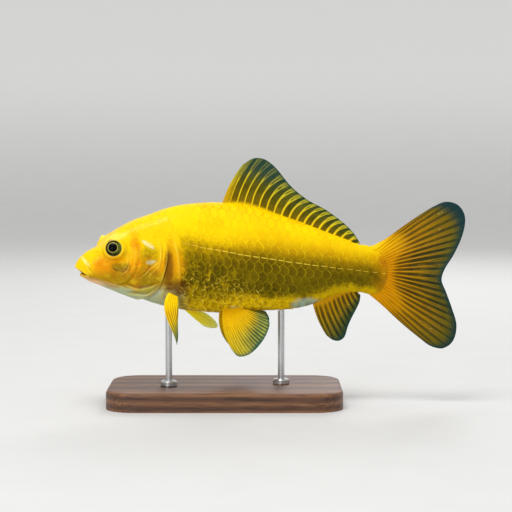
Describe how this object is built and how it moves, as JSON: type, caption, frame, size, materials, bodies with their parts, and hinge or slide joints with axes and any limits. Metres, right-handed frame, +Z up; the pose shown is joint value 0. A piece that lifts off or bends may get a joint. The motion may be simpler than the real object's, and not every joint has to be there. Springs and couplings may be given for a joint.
{
  "type": "goldfish model",
  "caption": "Life-size yellow goldfish swimming level with its fins spread and mouth a little open, held over a plain flat base by two short rods.",
  "frame": {"origin": "centre of the display base's underside, on the floor", "axes": "+X towards the tail, -X the way the head points, -Y the fish's left side, +Z up"},
  "size_m": [0.1846, 0.0656, 0.1178],
  "materials": {
    "skin": "wet scaled skin, lemon yellow above, olive gold on the flank",
    "fins": "wet yellow rays with dark olive membranes between them",
    "eyes": "dark pupil in an olive-gold iris under a clear glossy surface",
    "stand_wood": "dark satin",
    "stand_steel": "satin"
  },
  "bodies": {
    "root": {"head": "skin", "upper_lip": "skin", "lower_jaw": "skin", "gill_cover_left": "skin", "gill_cover_right": "skin", "trunk": "skin", "tail_stalk": "skin", "dorsal_fin": "fins", "tail_fin": "fins", "anal_fin": "fins", "pectoral_fin_left": "fins", "pectoral_fin_right": "fins", "pelvic_fin_left": "fins", "pelvic_fin_right": "fins", "eye_left": "eyes", "eye_right": "eyes", "stand_base": "stand_wood", "stand_rod_front": "stand_steel", "stand_rod_rear": "stand_steel"}
  },
  "joints": []
}
